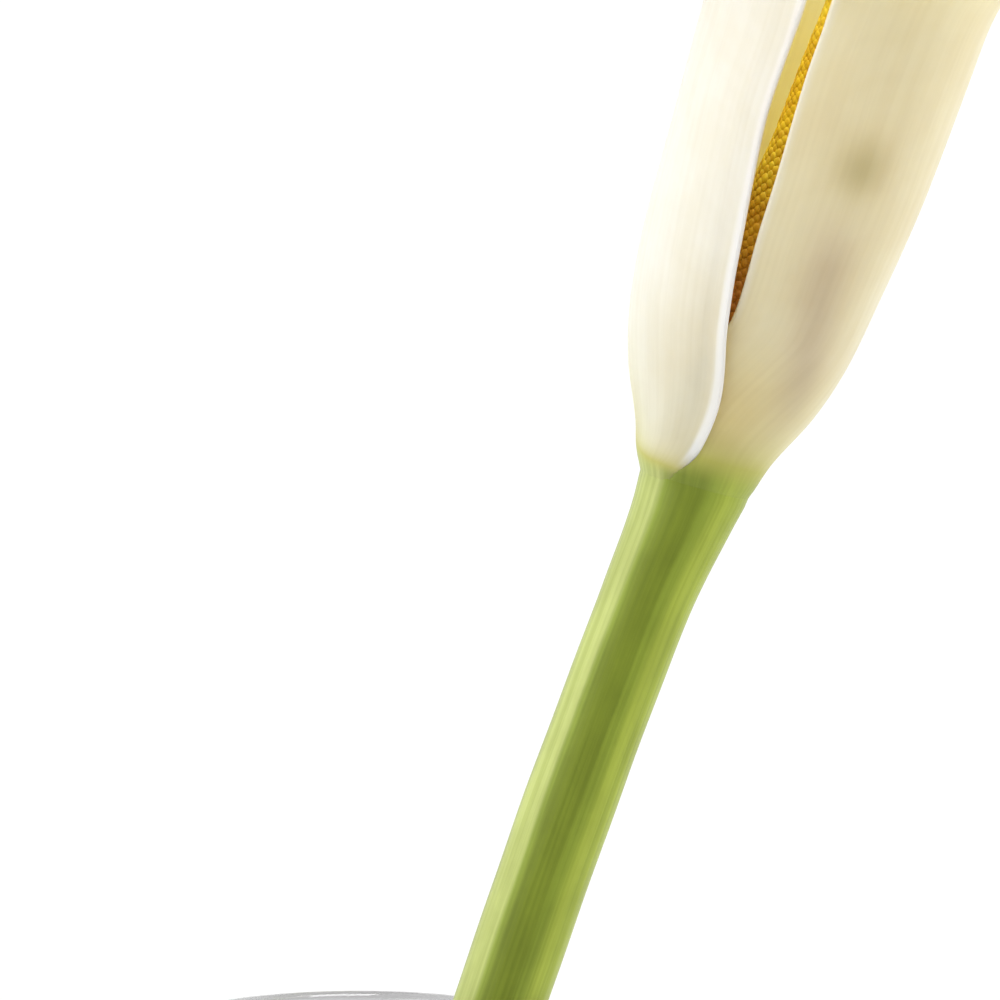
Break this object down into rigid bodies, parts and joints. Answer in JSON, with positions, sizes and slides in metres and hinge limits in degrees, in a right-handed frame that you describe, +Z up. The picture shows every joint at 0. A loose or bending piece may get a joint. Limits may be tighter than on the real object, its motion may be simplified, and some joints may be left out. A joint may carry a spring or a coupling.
{
  "type": "calla lily in a glass vase",
  "caption": "Half-furled white calla lily with a yellow spadix and a thick green stem, leaning in a plain clear glass cylinder vase of water.",
  "frame": {"origin": "centre of the vase's flat underside", "axes": "+Z up along the vase's axis; +X the way the stem leans; -Y the front, which the slit of the spathe faces"},
  "size_m": [0.164, 0.0873, 0.3826],
  "materials": {
    "clear_glass": "polished",
    "clear_water": "gloss",
    "green_stem": "satin",
    "white_spathe": "satin",
    "yellow_spadix": "matte"
  },
  "bodies": {
    "root": {"vase": "clear_glass", "water": "clear_water", "stem": "green_stem", "spathe": "white_spathe", "spadix": "yellow_spadix"}
  },
  "joints": []
}
